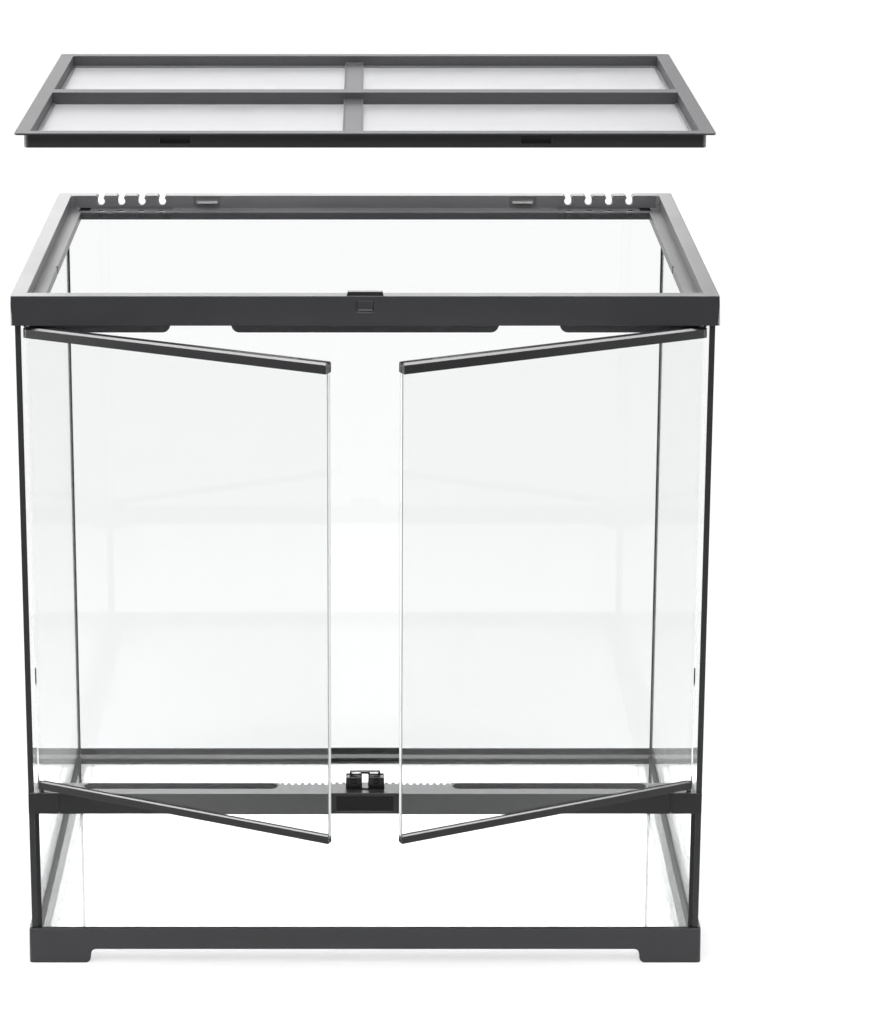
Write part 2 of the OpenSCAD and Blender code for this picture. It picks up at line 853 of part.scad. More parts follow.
// Thumb slide in the front of the rim, drawn clear of the lid
module lid_latch() {
    stem_in = pane_slot_out + 0.2;
    stem_w = latch_w - 4;
    hook_z = flange_top + 0.15;
    color("#29292b")
    difference() {
        union() {
            // hook over the rim, with slanting ends
            translate([0, lid_inset - 0.3 - half_d, 0])
                rotate([90, 0, 0])
                    linear_extrude(lid_inset - 0.3 - 1.6)
                        polygon([[-latch_w / 2 - 1, frame_top + 0.1],
                            [latch_w / 2 + 1, frame_top + 0.1],
                            [latch_w / 2, hook_z + latch_hook_t],
                            [-latch_w / 2, hook_z + latch_hook_t]]);
            front_block([-stem_w / 2, stem_w / 2], [stem_in, stem_in + 2],
                [button_z - 2, hook_z]);
            front_block([-button_w / 2, button_w / 2], [0.9, stem_in + 2],
                [button_z, button_z + button_h]);
        }
        // sunk middle of the button
        front_block([button_border - button_w / 2, button_w / 2 - button_border], [0, 1.4],
            [button_z + button_border, button_z + button_h - button_border]);
        // room for the lid's flange under the hook
        front_block([-latch_w, latch_w], [stem_in + 2, lid_inset + 5], [frame_top, hook_z]);
    }
}

// ---- doors ----

// Turn a shape drawn closed about the hinge axis, to where the door stands
module hung(side) {
    on_side(side)
        translate([-hinge_x, hinge_y - half_d, 0])
            rotate([0, 0, -door_open])
                children();
}

module door_glass() {
    color("#d6e8e2", 0.35)
    translate([-2.4, -door_glass_t / 2, glass_bottom])
        cube([door_len + 2.4, door_glass_t, glass_top - glass_bottom]);
}

// Strip of a door, t thick, with a round end at the hinge
module door_strip(t, z0, z1) {
    translate([0, 0, z0]) {
        cylinder(r = t / 2, h = z1 - z0);
        translate([0, -t / 2, 0]) cube([door_len, t, z1 - z0]);
    }
}

module door_top_profile() {
    slot_t = door_glass_t + 2 * glass_fit;
    half_t = top_profile_t / 2;
    color("#39393c")
    difference() {
        union() {
            door_strip(top_profile_t, profile_bottom, door_top - profile_bevel);
            // bevelled top
            translate([0, 0, door_top - profile_bevel])
                cylinder(r1 = half_t, r2 = half_t - profile_bevel, h = profile_bevel);
            rotate([90, 0, 90])
                linear_extrude(door_len)
                    polygon([[-half_t, door_top - profile_bevel], [half_t, door_top - profile_bevel],
                        [half_t - profile_bevel, door_top], [profile_bevel - half_t, door_top]]);
        }
        // groove that grips the glass
        translate([-3, -slot_t / 2, profile_bottom - over])
            cube([door_len + 3 + over, slot_t, glass_top - profile_bottom + over + 0.1]);
        // keeper groove in the top, at the free end
        translate([door_len - groove_len, -1.6, door_top - 2])
            cube([groove_len + over, 3.2, 2 + over]);
        translate([0, 0, glass_top])
            cylinder(r = pin_r + 0.01, h = 20);
    }
}

module door_bottom_channel() {
    slot_t = door_glass_t + 2 * glass_fit;
    color("#39393c")
    difference() {
        door_strip(channel_t, door_bottom, door_bottom + channel_h);
        translate([-2.6, -slot_t / 2, glass_bottom - 0.1])
            cube([door_len + 2.6 + over, slot_t, channel_h]);
        // open underneath the glass, past the hinge's solid end
        translate([12, -slot_t / 2, door_bottom + channel_floor])
            cube([door_len, slot_t, channel_h]);
        translate([0, 0, door_bottom - over])
            cylinder(r = pin_r + 0.01, h = 3.3 + over);
        // seat of the strike, in the inner face
        translate([door_len - 14, channel_t / 2 - 0.7, door_bottom + 1])
            cube([12, 1, 4]);
    }
}

module door_top_pin() {
    color("silver")
    translate([0, 0, glass_top + 0.3])
        cylinder(r = pin_r, h = frame_bottom + pin_in_frame - glass_top - 0.3);
}

module door_bottom_pin() {
    color("silver")
    translate([0, 0, rail_top - pin_in_block])
        cylinder(r = pin_r, h = door_bottom + 3.2 - rail_top + pin_in_block);
}

// Steel plate that meets the catch
module door_strike() {
    color("silver")
    translate([door_len - 14, channel_t / 2 - 0.7, door_bottom + 1])
        cube([12, 0.7, 4]);
}

module left_door_glass() { hung(LEFT) door_glass(); }
module left_door_top_profile() { hung(LEFT) door_top_profile(); }
module left_door_bottom_channel() { hung(LEFT) door_bottom_channel(); }
module left_door_top_pin() { hung(LEFT) door_top_pin(); }
module left_door_bottom_pin() { hung(LEFT) door_bottom_pin(); }
module left_door_strike() { hung(LEFT) door_strike(); }
module right_door_glass() { hung(RIGHT) door_glass(); }
module right_door_top_profile() { hung(RIGHT) door_top_profile(); }
module right_door_bottom_channel() { hung(RIGHT) door_bottom_channel(); }
module right_door_top_pin() { hung(RIGHT) door_top_pin(); }
module right_door_bottom_pin() { hung(RIGHT) door_bottom_pin(); }
module right_door_strike() { hung(RIGHT) door_strike(); }

// ---- lid ----

module lifted() {
    translate([0, 0, lid_lift]) children();
}

// The bar across the lid between z0 and z1, narrowed by thin on each side
module cross_bar(thin, z0, z1) {
    translate([lid_inset + 5 - half_w, thin - bar_w / 2, z0])
        cube([frame_w - 2 * lid_inset - 10, bar_w - 2 * thin, z1 - z0]);
}

// The bar from front to back, likewise
module long_bar(thin, z0, z1) {
    translate([thin - bar_offset - bar_w / 2, lid_inset + 5 - half_d, z0])
        cube([bar_w - 2 * thin, frame_d - 2 * lid_inset - 10, z1 - z0]);
}

module lid_frame() {
    long_top = flange_top - bar_drop;
    color("#2f2f32")
    lifted()
        difference() {
            union() {
                // flange, skirt and inner wall
                rounded_ring(lid_inset, flange_edge, flange_corner, frame_top, flange_top);
                rounded_ring(skirt_in, skirt_in + lid_wall, skirt_corner, skirt_bottom,
                    flange_top);
                inset_ring(flange_edge - lid_wall, flange_edge, skirt_bottom, flange_top);
                // shelf that carries the screen
                inset_ring(flange_edge - over, flange_edge + lid_shelf_w, skirt_bottom, screen_z);
                slot_borders();
                // bars, hollow underneath
                intersection() {
                    inset_box(flange_edge - 0.5, flange_edge - 0.5, flange_edge - 0.5,
                        bars_z, flange_top);
                    difference() {
                        union() {
                            cross_bar(0, bars_z, flange_top);
                            long_bar(0, bars_z, long_top);
                        }
                        cross_bar(lid_wall, bars_z - over, flange_top - lid_wall);
                        long_bar(lid_wall, bars_z - over, long_top - lid_wall);
                    }
                }
            }
            lid_slots();
            long_bar_trays(long_top);
        }
}

// Shallow tray in the top of the front-to-back bar, on either side of the cross bar
module long_bar_trays(top) {
    edge = 1.2;
    reach = half_d - flange_edge - bar_w / 2 - 2 * edge;
    for (side = [-1, 1])
        translate([-bar_offset, side * (bar_w / 2 + edge + reach / 2), top - 0.5])
            cube([bar_w - 2 * edge, reach, 1], center = true);
}

// Raised outlines around the slots in the front skirt
module slot_borders() {
    z = flange_top - skirt_slot_drop;
    for (x = skirt_slots)
        front_block([x - skirt_slot_w / 2 - slot_border, x + skirt_slot_w / 2 + slot_border],
            [skirt_in - 0.3, skirt_in + 0.5], [z - slot_border, z + skirt_slot_h + slot_border]);
}

// Slots in the front skirt and notches over the rear lugs
module lid_slots() {
    for (x = skirt_slots)
        front_block([x - skirt_slot_w / 2, x + skirt_slot_w / 2],
            [skirt_in - over, skirt_in + lid_wall + 0.2],
            [flange_top - skirt_slot_drop, flange_top - skirt_slot_drop + skirt_slot_h]);
    both_sides()
        rear_block([-hook_x - pocket_w / 2, pocket_w / 2 - hook_x],
            [skirt_in - over, skirt_in + lid_wall + 0.2],
            [skirt_bottom - over, frame_top - hook_drop + 1.5]);
}

// Screen, as a coarse cloth of flat strands: one layer from front to back, which lies on the
// lid's shelf, and one across it, whose ends the retainer holds down
module lid_screen() {
    x = half_w - flange_edge - 0.2;
    y = half_d - flange_edge - 0.2;
    x_pitch = (2 * x - strand_w) / screen_cells[0];
    y_pitch = (2 * y - strand_w) / screen_cells[1];
    layer = screen_t / 2;
    color("#b9b9bb")
    lifted()
        translate([0, 0, screen_z]) {
            for (i = [0 : screen_cells[0]])
                translate([i * x_pitch - x, -y, 0])
                    cube([strand_w, 2 * y, layer - layer_gap]);
            for (j = [0 : screen_cells[1]])
                translate([-x, j * y_pitch - y, layer])
                    cube([2 * x, strand_w, layer]);
        }
}

// Strip around the inside of the lid that holds the screen down on its shelf
module screen_retainer() {
    inner = flange_edge + lid_shelf_w - 0.2;
    z0 = screen_z + screen_t;
    color("#5a5a5e")
    lifted()
        difference() {
            inset_ring(flange_edge, inner, z0, z0 + retainer_t);
            cross_bar(-0.1, z0 - over, z0 + retainer_t + over);
            long_bar(-0.1, z0 - over, z0 + retainer_t + over);
        }
}

base_frame();
base_seal();
floor_pane();
floor_seal();
rear_pane();
left_pane();
right_pane();
front_pane();
rear_seals();
front_seals();
left_edge_strip();
right_edge_strip();
middle_rail();
left_hinge_block();
right_hinge_block();
left_vent_mesh();
right_vent_mesh();
lock_housing();
left_catch();
right_catch();
top_frame();
left_inlet_slider();
right_inlet_slider();
lid_latch();
left_door_glass();
left_door_top_profile();
left_door_bottom_channel();
left_door_top_pin();
left_door_bottom_pin();
left_door_strike();
right_door_glass();
right_door_top_profile();
right_door_bottom_channel();
right_door_top_pin();
right_door_bottom_pin();
right_door_strike();
lid_frame();
lid_screen();
screen_retainer();
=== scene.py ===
# %% [markdown]
# # A glass terrarium with doors and a screen lid
# The solids come first: every rigid piece is already there, at its real size, and rides on the
# body that it moves with. What is left is what a solid can't say: how black ABS, float glass,
# silicone, wire and steel take the light. A few fine pieces are also made here, because a solid
# would stand in for them only as a plain plate: the wire screens, the ground edges of the doors
# and the lips that hold them, the rail's textured panel and tongues, the matt face of the floor
# pane, and the ribs under the cable inlets.

# %% Load the solids and keep their box
import json
import math
import random

import bmesh
import bpy
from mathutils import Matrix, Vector


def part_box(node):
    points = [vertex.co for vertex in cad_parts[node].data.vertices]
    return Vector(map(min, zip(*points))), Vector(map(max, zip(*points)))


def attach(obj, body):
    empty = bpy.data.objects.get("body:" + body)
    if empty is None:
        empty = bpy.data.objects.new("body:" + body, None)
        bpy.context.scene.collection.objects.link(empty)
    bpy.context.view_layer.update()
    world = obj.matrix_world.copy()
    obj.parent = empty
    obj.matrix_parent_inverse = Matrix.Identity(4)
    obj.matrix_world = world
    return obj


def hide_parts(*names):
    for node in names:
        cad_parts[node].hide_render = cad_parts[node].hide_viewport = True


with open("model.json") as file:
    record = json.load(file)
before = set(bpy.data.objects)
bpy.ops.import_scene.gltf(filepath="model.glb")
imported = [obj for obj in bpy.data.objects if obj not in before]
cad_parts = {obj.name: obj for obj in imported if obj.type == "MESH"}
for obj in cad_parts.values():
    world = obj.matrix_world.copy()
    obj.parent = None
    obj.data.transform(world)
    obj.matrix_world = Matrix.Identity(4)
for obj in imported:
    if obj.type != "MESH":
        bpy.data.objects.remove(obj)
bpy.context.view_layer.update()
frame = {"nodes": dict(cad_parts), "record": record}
MM = 0.001

# %% [markdown]
# ## Colours and node helpers
# Colours are written as sRGB hex, the way a paint chart or a picker gives them, and a shader
# wants linear values. One function does that for the whole file. Another adds a node together
# with its settings and its links, so that a material reads as a list of what it is made of.


# %% Turn a hex colour to linear
def colour(hex_code):
    channels = [int(hex_code[i : i + 2], 16) / 255 for i in (1, 3, 5)]
    linear = [c / 12.92 if c <= 0.04045 else ((c + 0.055) / 1.055) ** 2.4 for c in channels]
    return (*linear, 1.0)


print("mid grey #808080 is", round(colour("#808080")[0], 3), "in linear light")


# %% Add one node with its settings and links
def add(tree, kind, settings=None, **inputs):
    """Settings are the node's own properties. An input is a value, or an output to link. Its
    name has _ for a space, or is _0, _1 and so on where several inputs share one name."""
    node = tree.nodes.new(kind)
    for name, value in (settings or {}).items():
        setattr(node, name, value)
    for name, value in inputs.items():
        by_number = name[1:].isdigit()
        socket = node.inputs[int(name[1:]) if by_number else name.replace("_", " ")]
        if isinstance(value, bpy.types.NodeSocket):
            tree.links.new(value, socket)
        else:
            socket.default_value = value
    return node


def new_material(name):
    material = bpy.data.materials.new(name)
    material.use_nodes = True
    material.node_tree.nodes.clear()
    return material, material.node_tree


def finish_material(tree, shader):
    add(tree, "ShaderNodeOutputMaterial", Surface=shader.outputs[0])


# %% [markdown]
# ## The camera
# The object is seen from in front and a little above, from almost three metres away with a long
# lens, as a product is shot for a catalogue. The picture is taller than the object and leaves
# room on the right, so the lens is shifted sideways instead of turned: a turn would make the
# two sides of the tank unequal.

# %% Place the camera
PICTURE_LONG_SIDE = 1024
FILM_WIDTH = 36
FOCAL_PX = 3217.0
TILT = 0.262
SHIFT_PX = (-74.4, -100.0)
CAMERA_PLACE = (0, -2.886, 1.2247)
FARTHEST_SEEN = 100

camera_data = bpy.data.cameras.new("catalogue_camera")
camera_data.sensor_width = FILM_WIDTH
camera_data.lens = FOCAL_PX / PICTURE_LONG_SIDE * camera_data.sensor_width
camera_data.shift_x = -SHIFT_PX[0] / PICTURE_LONG_SIDE
camera_data.shift_y = SHIFT_PX[1] / PICTURE_LONG_SIDE
camera_data.clip_end = FARTHEST_SEEN
camera = bpy.data.objects.new("catalogue_camera", camera_data)
camera.location = CAMERA_PLACE
camera.rotation_euler = (math.pi / 2 - TILT, 0, 0)
bpy.context.scene.collection.objects.link(camera)
bpy.context.scene.camera = camera
print("lens", round(camera_data.lens, 1), "mm, tilt", round(math.degrees(TILT), 1), "degrees down")

# %% [markdown]
# ## A white studio
# The tank is glass, so what stands around it is half of how it looks. A pale floor runs out to a
# white world. The world lights at a plain level, and looks pure white only where the camera, a
# gloss or a view through glass meets it. The floor does the same, and keeps its shadow: it is a
# pale diffuse surface, with just enough added on those rays to reach white. Under the tank less is
# added, which is a painted shadow on top of the real one. One side of the studio is darker, the
# room in front, where the camera stands. Clear glass mirrors that room, and a bright one would
# veil all that stands behind the doors. Two small helpers tell the rays apart. Once a ray has been
# mirrored it no longer counts as clear, or a pane would show the white floor twice.

# %% Make the world
WORLD_LIGHT = 0.7
ROOM_IN_FRONT = 0.12
ROOM_STARTS, ROOM_FULL = 0.1, -0.45
WHITE = (1, 1, 1, 1)

world = bpy.data.worlds.new("white_studio")
bpy.context.scene.world = world
world.use_nodes = True
sky = world.node_tree
sky.nodes.clear()


def mirrored_rays(tree):
    """1 on a ray that a gloss or a pane has mirrored, also once it runs on through glass."""
    path = add(tree, "ShaderNodeLightPath")
    return add(tree, "ShaderNodeMath", {"operation": "MINIMUM"}, _0=path.outputs["Glossy Depth"],
               _1=1.0).outputs[0]


def clear_rays(tree):
    """1 on a ray that comes straight from the camera, or through glass without being mirrored."""
    path = add(tree, "ShaderNodeLightPath")
    direct = add(tree, "ShaderNodeMath", {"operation": "MAXIMUM"},
                 _0=path.outputs["Is Camera Ray"], _1=path.outputs["Is Transmission Ray"])
    return add(tree, "ShaderNodeMath", {"operation": "SUBTRACT", "use_clamp": True},
               _0=direct.outputs[0], _1=path.outputs["Glossy Depth"]).outputs[0]


toward = add(sky, "ShaderNodeTexCoord").outputs["Generated"]
depth = add(sky, "ShaderNodeSeparateXYZ", Vector=toward).outputs["Y"]
room = add(sky, "ShaderNodeMapRange", Value=depth, From_Min=ROOM_FULL, From_Max=ROOM_STARTS,
           To_Min=ROOM_IN_FRONT, To_Max=1.0)
soft = add(sky, "ShaderNodeBackground", Color=WHITE, Strength=WORLD_LIGHT)
mirrored = add(sky, "ShaderNodeBackground", Color=WHITE, Strength=room.outputs[0])
white = add(sky, "ShaderNodeBackground", Color=WHITE, Strength=1.0)
lit = add(sky, "ShaderNodeMixShader", Fac=mirrored_rays(sky), _1=soft.outputs[0],
          _2=mirrored.outputs[0])
both = add(sky, "ShaderNodeMixShader", Fac=clear_rays(sky), _1=lit.outputs[0],
           _2=white.outputs[0])
add(sky, "ShaderNodeOutputWorld", Surface=both.outputs[0])
print("world lights at", WORLD_LIGHT, "and looks white")

# %% Lay the floor
FLOOR_PALE = "#A6A6A6"
# The third value is a painted shadow: under the tank the floor gets that much less added light.
ADDED_NEAR, ADDED_FAR, PAINTED_SHADOW_BELOW = 0.68, 0.76, 0.1
NEAR, FAR = 0.6, 3.5
BELOW_TANK, BESIDE_TANK = 0.27, 0.42
TABLE_ENDS, TABLE_FULL = -0.8, -0.3
FLOOR_HALF = 30
FLOOR_GAP = 0.2 * MM

floor_material, tree = new_material("studio_floor")
here = add(tree, "ShaderNodeTexCoord").outputs["Object"]
from_tank = add(tree, "ShaderNodeVectorMath", {"operation": "LENGTH"}, _0=here).outputs["Value"]
to_white = add(tree, "ShaderNodeMapRange", Value=from_tank, From_Min=NEAR, From_Max=FAR,
               To_Min=ADDED_NEAR, To_Max=ADDED_FAR)
# Painted shadow: less added light under the tank.
painted_shadow_below = add(tree, "ShaderNodeMapRange", Value=from_tank, From_Min=BELOW_TANK,
            From_Max=BESIDE_TANK, To_Min=PAINTED_SHADOW_BELOW, To_Max=0.0)
to_white = add(tree, "ShaderNodeMath", {"operation": "SUBTRACT"}, _0=to_white.outputs[0],
               _1=painted_shadow_below.outputs[0])
toward_room = add(tree, "ShaderNodeSeparateXYZ", Vector=here).outputs["Y"]
table_end = add(tree, "ShaderNodeMapRange", Value=toward_room, From_Min=TABLE_ENDS,
                From_Max=TABLE_FULL)
in_gloss = add(tree, "ShaderNodeMath", {"operation": "MULTIPLY"}, _0=mirrored_rays(tree),
               _1=table_end.outputs[0])
seen = add(tree, "ShaderNodeMath", {"operation": "MAXIMUM"}, _0=in_gloss.outputs[0],
           _1=clear_rays(tree))
strength = add(tree, "ShaderNodeMath", {"operation": "MULTIPLY"}, _0=seen.outputs[0],
               _1=to_white.outputs[0])
added = add(tree, "ShaderNodeEmission", Color=WHITE, Strength=strength.outputs[0])
pale = add(tree, "ShaderNodeBsdfDiffuse", Color=colour(FLOOR_PALE))
finish_material(tree, add(tree, "ShaderNodeAddShader", _0=pale.outputs[0], _1=added.outputs[0]))

floor_mesh = bpy.data.meshes.new("studio_floor")
floor_mesh.from_pydata(
    [(-FLOOR_HALF, -FLOOR_HALF, 0), (FLOOR_HALF, -FLOOR_HALF, 0),
     (FLOOR_HALF, FLOOR_HALF, 0), (-FLOOR_HALF, FLOOR_HALF, 0)], [], [(0, 1, 2, 3)])
floor = bpy.data.objects.new("studio_floor", floor_mesh)
floor.location.z = -FLOOR_GAP
bpy.context.scene.collection.objects.link(floor)
floor_mesh.materials.append(floor_material)
print("floor adds", ADDED_NEAR, "near the tank and", ADDED_FAR, "far away")


# %% [markdown]
# ## Softboxes
# Black plastic hardly scatters light, so its shape is drawn by what it mirrors. A wide softbox
# behind the tank is mirrored in every level surface, which is why rims and ledges look pale
# while upright faces stay dark. It stands a little to the left, so that the left arms are
# paler than the right ones. A second one overhead lights the floor and reaches into the recess
# of the rim. The other three only show up in gloss, as strips of card do in a studio: a wide
# one overhead draws the bright line along every rounded edge, and one on each side, low down,
# gives the ends of the frame a sheen. The one behind lights no dull surface either, since the
# floor behind the tank would glare, so all the plain light comes from the one overhead.


# %% Hang the softboxes
def softbox(name, size, place, aim, watts):
    lamp = bpy.data.lights.new(name, "AREA")
    lamp.shape = "RECTANGLE"
    lamp.size, lamp.size_y = size
    lamp.energy = watts
    box = bpy.data.objects.new(name, lamp)
    box.location = place
    box.rotation_euler = (Vector(aim) - Vector(place)).to_track_quat("-Z", "Y").to_euler()
    box.visible_camera = False
    bpy.context.scene.collection.objects.link(box)
    return box


back = softbox("back_softbox", (3.4, 1.6), (-0.95, 3.2, 1.75), (0, 0, 0.65), 51)
back.visible_diffuse = False
softbox("overhead_softbox", (2.4, 2.0), (-0.4, -1.2, 2.7), (0, 0, 0.4), 52)
for name, size, place, aim, watts in (
        ("edge_softbox", (4.6, 1.6), (-0.1, -0.45, 2.6), (-0.1, -0.35, 0), 290),
        ("left_softbox", (1.5, 0.8), (-1.5, 0.05, 0.42), (-0.3, 0.0, 0.5), 38),
        ("right_softbox", (1.5, 0.8), (1.5, 0.05, 0.42), (0.3, 0.0, 0.5), 20)):
    box = softbox(name, size, place, aim, watts)
    box.visible_diffuse = False
    box.visible_transmission = False
print("five softboxes, one of them for light and four for gloss")

# %% [markdown]
# ## Moulded black ABS
# The frame, rail, base, lid and door profiles are injection-moulded ABS. The mould is spark
# eroded, which leaves a fine even grain, and the edges come out slightly round. To the eye that
# is a soft sheen that turns pale at a low angle, with a thin bright line along each edge. The
# grain is noise at its real spacing, as bump, and the edge line comes from rounding the normals
# near the edges, because the solids' edges are sharp. Each moulding has its own tone and sheen:
# the lid is the dullest, the door profiles are the smoothest, and the glazing lips are polished.
# In the recess of the top frame the black is painted paler: painted light on the inner walls of
# the recess.

# %% Make the ABS
GRAIN = 0.55 * MM
FLOW_MARKS = 90 * MM
EDGE_ROUNDING = 0.8 * MM
SHEEN_SPREAD = 0.04
PALEST = 1.25
ABS_IOR = 1.54


def inside(tree, place, low, high, blur=0.6 * MM):
    """1 inside a box of the frame and 0 outside, from the object's own coordinates, with a soft
    border that is blur wide each way."""
    axes = add(tree, "ShaderNodeSeparateXYZ", Vector=place)
    found = None
    for axis, a, b in zip("XYZ", low, high):
        for start, end in ((a - blur, a + blur), (b + blur, b - blur)):
            step = add(tree, "ShaderNodeMapRange", Value=axes.outputs[axis], From_Min=start,
                       From_Max=end).outputs[0]
            found = step if found is None else add(
                tree, "ShaderNodeMath", {"operation": "MULTIPLY"}, _0=found, _1=step).outputs[0]
    return found


def moulded_abs(name, hex_code, roughness, grain_depth, rounding=EDGE_ROUNDING, painted_light_and_polish=None,
                zone_roughness=0.5, gloss=0.5):
    """One zone, given as (low corner, high corner, hex code), gets its own tone and roughness: in
    the recess of the frame it is painted light, a paler tone for the light its walls catch, and on
    the latch's hook it is the blacker polish. gloss is the specular level, less than 0.5 where a
    coarse texture swallows the shine."""
    material, tree = new_material(name)
    place = add(tree, "ShaderNodeTexCoord").outputs["Object"]
    grain = add(tree, "ShaderNodeTexNoise", Vector=place, Scale=1 / GRAIN, Detail=1.5)
    flow = add(tree, "ShaderNodeTexNoise", Vector=place, Scale=1 / FLOW_MARKS, Detail=2.0)
    edge = add(tree, "ShaderNodeBevel", {"samples": 4}, Radius=rounding)
    bump = add(tree, "ShaderNodeBump", Height=grain.outputs["Fac"], Normal=edge.outputs[0],
               Distance=grain_depth, Strength=0.6)
    sheen = add(tree, "ShaderNodeMapRange", Value=flow.outputs["Fac"],
                To_Min=roughness - SHEEN_SPREAD, To_Max=roughness + SHEEN_SPREAD).outputs[0]
    dark = colour(hex_code)
    light = [min(1, c * PALEST) for c in dark[:3]] + [1]
    tone = add(tree, "ShaderNodeMix", {"data_type": "RGBA"}, Factor=flow.outputs["Fac"],
               _6=dark, _7=light)
    if painted_light_and_polish:
        low, high, pale = painted_light_and_polish
        zone_patchiness = add(tree, "ShaderNodeMapRange", Value=flow.outputs["Fac"], From_Min=0.2,
                   From_Max=0.8, To_Min=0.8, To_Max=1.0)
        where = add(tree, "ShaderNodeMath", {"operation": "MULTIPLY"},
                    _0=inside(tree, place, low, high), _1=zone_patchiness.outputs[0])
        tone = add(tree, "ShaderNodeMix", {"data_type": "RGBA"}, Factor=where.outputs[0],
                   _6=tone.outputs[2], _7=colour(pale))
        sheen = add(tree, "ShaderNodeMath", {"operation": "MULTIPLY_ADD"}, _0=where.outputs[0],
                    _1=zone_roughness - roughness, _2=sheen).outputs[0]
    abs_shader = add(tree, "ShaderNodeBsdfPrincipled", Base_Color=tone.outputs[2],
                     Roughness=sheen, Normal=bump.outputs[0])
    abs_shader.inputs["IOR"].default_value = ABS_IOR
    abs_shader.inputs["Specular IOR Level"].default_value = gloss
    finish_material(tree, abs_shader)
    return material


frame_low, frame_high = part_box("top_frame")
RIM, REAR_RIM = 13.5 * MM, 11.5 * MM
RECESS_DEPTH, RECESS_EDGE = 13 * MM, 0.4 * MM
recess = (Vector((frame_low.x + RIM, frame_low.y + RIM, frame_high.z - RECESS_DEPTH)),
          Vector((frame_high.x - RIM, frame_high.y - REAR_RIM, frame_high.z - RECESS_EDGE)))
# Inside the recess the frame is painted paler, #626264, as painted light on its inner walls.
frame_abs = moulded_abs("black_abs_frame", "#303034", 0.34, 0.03 * MM,
                        painted_light_and_polish=(*recess, "#626264"))
base_abs = moulded_abs("black_abs_base", "#2A2A2D", 0.36, 0.03 * MM)
lip_abs = moulded_abs("black_abs_glazing_lip", "#242427", 0.16, 0.005 * MM, rounding=0.08 * MM)
panel_abs = moulded_abs("black_abs_rail_panel", "#0B0B0C", 0.4, 0.03 * MM, rounding=0.1 * MM,
                        gloss=0.25)
rail_abs = moulded_abs("black_abs_rail", "#151517", 0.34, 0.03 * MM)
lid_abs = moulded_abs("black_abs_lid", "#29292C", 0.58, 0.04 * MM, gloss=0.42)
profile_abs = moulded_abs("black_abs_door_profile", "#1C1C1F", 0.3, 0.02 * MM)
retainer_abs = moulded_abs("dark_grey_abs_retainer", "#4A4A4C", 0.40, 0.03 * MM)
trim_abs = moulded_abs("black_edge_trim", "#202022", 0.45, 0.02 * MM)
print("grain", round(GRAIN / MM, 2), "mm")

# %% [markdown]
# ## Acetal
# The lock's catches and the lid's latch slide and spring, so they are made of acetal, a slippery,
# slightly waxy plastic. It is blacker and smoother than the frame. The mould marks are too fine
# to see, so only a shallow unevenness bends its reflections.

# %% Make the acetal
acetal, tree = new_material("black_acetal")
place = add(tree, "ShaderNodeTexCoord").outputs["Object"]
unevenness = add(tree, "ShaderNodeTexNoise", Vector=place, Scale=1 / (4 * MM), Detail=1.0)
edge = add(tree, "ShaderNodeBevel", {"samples": 4}, Radius=0.35 * MM)
bump = add(tree, "ShaderNodeBump", Height=unevenness.outputs["Fac"], Normal=edge.outputs[0],
           Distance=0.05 * MM, Strength=0.4)
acetal_shader = add(tree, "ShaderNodeBsdfPrincipled", Base_Color=colour("#0D0D0E"),
                    Roughness=0.27, Normal=bump.outputs[0])
acetal_shader.inputs["IOR"].default_value = 1.48
finish_material(tree, acetal_shader)


# %% [markdown]
# ## Float glass
# The panes are soda-lime float glass: flat, smooth and clear, with a trace of green from iron.
# Face on, that trace can't be seen, but a ray that runs along the inside of a pane to its edge
# crosses centimetres of it. A solid pane with refraction shows all of this by itself. The panes
# cast no shadow, because clear glass lets the light of the softboxes through. Matt glass is the
# same glass with an etched skin, which scatters the share of light that clearness leaves over.


# %% Make the glass
GLASS_IOR = 1.52


def float_glass(name, hex_code, clearness=1.0):
    material, tree = new_material(name)
    place = add(tree, "ShaderNodeTexCoord").outputs["Object"]
    waver = add(tree, "ShaderNodeTexNoise", Vector=place, Scale=1 / (160 * MM), Detail=0.0)
    bump = add(tree, "ShaderNodeBump", Height=waver.outputs["Fac"], Distance=0.02 * MM,
               Strength=0.3)
    glass = add(tree, "ShaderNodeBsdfPrincipled", Base_Color=colour(hex_code), Roughness=0.0,
                Normal=bump.outputs[0])
    glass.inputs["IOR"].default_value = GLASS_IOR
    glass.inputs["Transmission Weight"].default_value = clearness
    finish_material(tree, glass)
    return material


tank_glass = float_glass("clear_float_glass", "#FAFBFB")
door_glass = float_glass("clear_door_glass", "#FDFEFE")
matt_glass = float_glass("matt_etched_glass", "#EAECEC", clearness=0.72)

# %% [markdown]
# ## Silicone
# The tank is glued with black acetic silicone, tooled smooth with a wet finger. It is a rubber
# with a wet-looking skin, and it is never quite straight: a slow waviness runs along each bead.

# %% Make the silicone
silicone, tree = new_material("black_silicone")
place = add(tree, "ShaderNodeTexCoord").outputs["Object"]
tooling = add(tree, "ShaderNodeTexNoise", Vector=place, Scale=1 / (14 * MM), Detail=2.0)
bump = add(tree, "ShaderNodeBump", Height=tooling.outputs["Fac"], Distance=0.4 * MM, Strength=0.5)
silicone_shader = add(tree, "ShaderNodeBsdfPrincipled", Base_Color=colour("#18181A"),
                      Roughness=0.3, Normal=bump.outputs[0])
silicone_shader.inputs["IOR"].default_value = 1.41
finish_material(tree, silicone_shader)

# %% [markdown]
# ## Steel and wire
# The door pins and strikes are drawn steel, with fine lines along the drawing direction. The
# lid's screen is bright wire and the vents' is blackened wire. Metal has no colour of its own
# beyond what it mirrors, so its base colour is its reflectance.


